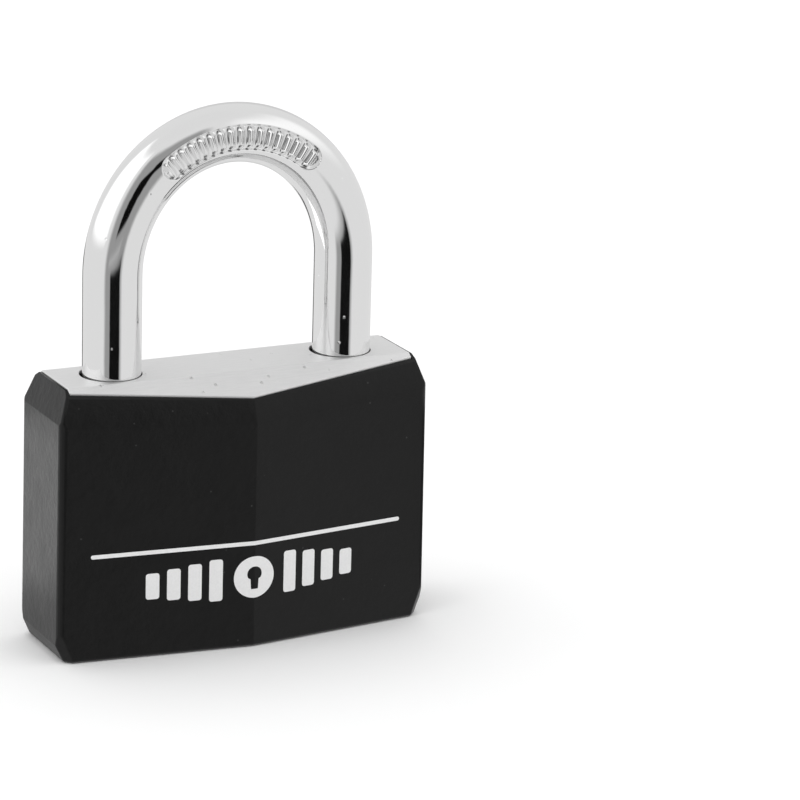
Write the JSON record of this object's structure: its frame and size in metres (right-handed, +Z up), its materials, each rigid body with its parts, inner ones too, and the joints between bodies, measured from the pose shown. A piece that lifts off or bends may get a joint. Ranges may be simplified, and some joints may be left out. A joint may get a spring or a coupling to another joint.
{
  "type": "padlock",
  "caption": "Key padlock: a metal body in a plastic safety cover, with a round steel shackle that lifts once the key draws back the levers inside.",
  "frame": {"origin": "middle of the cover's underside, the face with the keyway", "axes": "+Z up along the shackle's legs, +X from the shackle's long leg (heel) towards its short leg (toe), +Y to the back, so the printed front faces -Y"},
  "size_m": [0.0434, 0.016, 0.0584],
  "materials": {
    "cover_plastic": "fine textured black nylon",
    "body_aluminium": "satin anodised",
    "shackle_chrome": "polished chrome plate",
    "lock_brass": "machined",
    "inner_steel": "zinc plated"
  },
  "bodies": {
    "lock_body": {"cover": "cover_plastic", "core": "body_aluminium", "cross_hole_plug": "body_aluminium", "shackle_retaining_pin": "inner_steel", "plug_retaining_pin": "inner_steel", "shackle_spring": "inner_steel", "pin_spring_1": "inner_steel", "pin_spring_2": "inner_steel", "pin_spring_3": "inner_steel", "pin_spring_4": "inner_steel", "chamber_plug_1": "lock_brass", "chamber_plug_2": "lock_brass", "chamber_plug_3": "lock_brass", "chamber_plug_4": "lock_brass"},
    "shackle": {"shackle": "shackle_chrome"},
    "plug": {"plug": "lock_brass", "cam": "inner_steel"},
    "toe_lever": {"toe_lever": "inner_steel", "toe_lever_spring": "inner_steel"},
    "heel_lever": {"heel_lever": "inner_steel", "heel_lever_spring": "inner_steel"},
    "key_pin_1": {"key_pin_1": "lock_brass"},
    "driver_pin_1": {"driver_pin_1": "lock_brass"},
    "key_pin_2": {"key_pin_2": "lock_brass"},
    "driver_pin_2": {"driver_pin_2": "lock_brass"},
    "key_pin_3": {"key_pin_3": "lock_brass"},
    "driver_pin_3": {"driver_pin_3": "lock_brass"},
    "key_pin_4": {"key_pin_4": "lock_brass"},
    "driver_pin_4": {"driver_pin_4": "lock_brass"}
  },
  "joints": [
    {"name": "shackle_lift", "type": "slide", "parent": "lock_body", "child": "shackle", "axis": [0, 0, 1], "range_m": [0, 0.0105], "deforming": ["shackle_spring"]},
    {"name": "plug_turn", "type": "hinge", "parent": "lock_body", "child": "plug", "pos_m": [0, 0, 0.009], "axis": [0, 0, 1], "range_deg": [-90, 0]},
    {"name": "toe_lever_slide", "type": "slide", "parent": "lock_body", "child": "toe_lever", "axis": [1, 0, 0], "range_m": [0, 0.002], "deforming": ["toe_lever_spring"]},
    {"name": "heel_lever_slide", "type": "slide", "parent": "lock_body", "child": "heel_lever", "axis": [-1, 0, 0], "range_m": [0, 0.002], "deforming": ["heel_lever_spring"]},
    {"name": "key_pin_1_slide", "type": "slide", "parent": "plug", "child": "key_pin_1", "axis": [0, 1, 0], "range_m": [-0.0012, 0]},
    {"name": "driver_pin_1_slide", "type": "slide", "parent": "lock_body", "child": "driver_pin_1", "axis": [1, 0, 0], "range_m": [0, 0.0012], "stiffness_N_per_m": 80, "springref_m": -0.002, "deforming": ["pin_spring_1"]},
    {"name": "key_pin_2_slide", "type": "slide", "parent": "plug", "child": "key_pin_2", "axis": [0, 1, 0], "range_m": [-0.0012, 0]},
    {"name": "driver_pin_2_slide", "type": "slide", "parent": "lock_body", "child": "driver_pin_2", "axis": [1, 0, 0], "range_m": [0, 0.0012], "stiffness_N_per_m": 80, "springref_m": -0.002, "deforming": ["pin_spring_2"]},
    {"name": "key_pin_3_slide", "type": "slide", "parent": "plug", "child": "key_pin_3", "axis": [0, 1, 0], "range_m": [-0.0012, 0]},
    {"name": "driver_pin_3_slide", "type": "slide", "parent": "lock_body", "child": "driver_pin_3", "axis": [1, 0, 0], "range_m": [0, 0.0012], "stiffness_N_per_m": 80, "springref_m": -0.002, "deforming": ["pin_spring_3"]},
    {"name": "key_pin_4_slide", "type": "slide", "parent": "plug", "child": "key_pin_4", "axis": [0, 1, 0], "range_m": [-0.0012, 0]},
    {"name": "driver_pin_4_slide", "type": "slide", "parent": "lock_body", "child": "driver_pin_4", "axis": [1, 0, 0], "range_m": [0, 0.0012], "stiffness_N_per_m": 80, "springref_m": -0.002, "deforming": ["pin_spring_4"]}
  ],
  "couplings": [
    {"joint": "toe_lever_slide", "follows": "plug_turn", "m_per_rad": -0.001273},
    {"joint": "heel_lever_slide", "follows": "plug_turn", "m_per_rad": -0.001273}
  ]
}
